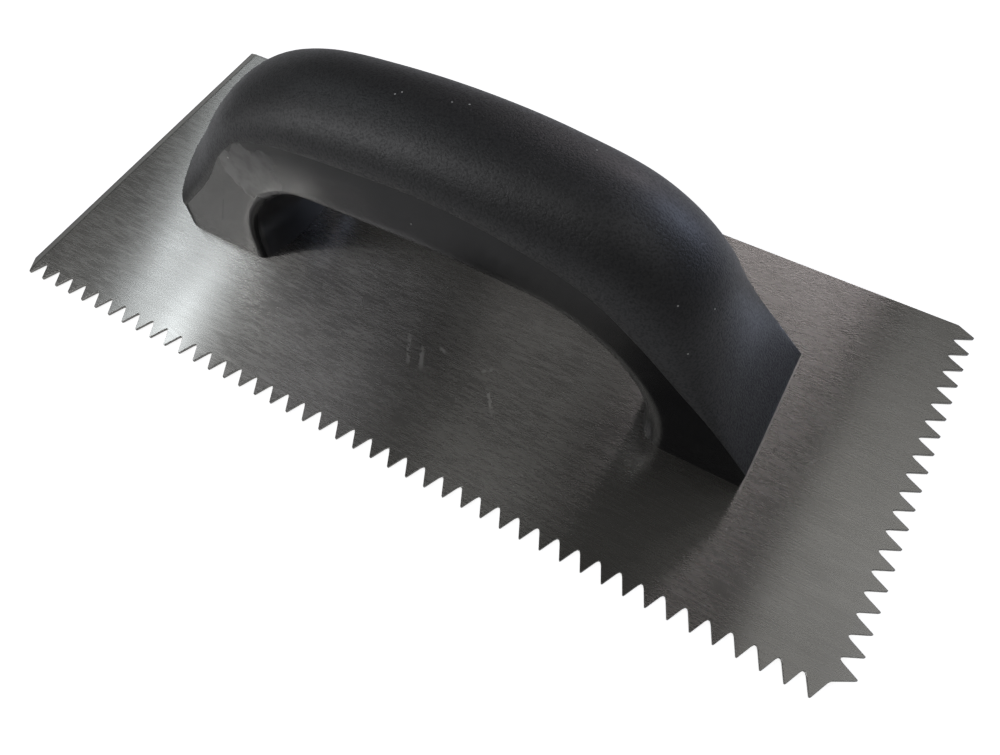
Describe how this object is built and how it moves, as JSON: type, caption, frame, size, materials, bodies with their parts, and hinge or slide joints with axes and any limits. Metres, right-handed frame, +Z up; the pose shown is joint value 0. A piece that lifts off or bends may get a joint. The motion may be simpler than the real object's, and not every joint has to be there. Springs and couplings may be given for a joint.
{
  "type": "notched trowel",
  "caption": "Flat steel notched trowel with V teeth along one long edge and one end, and a moulded plastic bridge handle screwed on from below.",
  "frame": {"origin": "middle of the blade's underside, on the surface that the blade lies on", "axes": "+X along the blade towards the short toothed end, +Y across the blade away from the long toothed edge, +Z up through the handle"},
  "size_m": [0.2294, 0.1, 0.0608],
  "materials": {
    "blade_steel": "satin, fine scratches along the length",
    "handle_plastic": "fine-grained domed top, smooth sides",
    "screw_zinc": "zinc plated"
  },
  "bodies": {
    "root": {"blade": "blade_steel", "handle": "handle_plastic", "screw_left_front": "screw_zinc", "screw_left_back": "screw_zinc", "screw_right_front": "screw_zinc", "screw_right_back": "screw_zinc"}
  },
  "joints": []
}
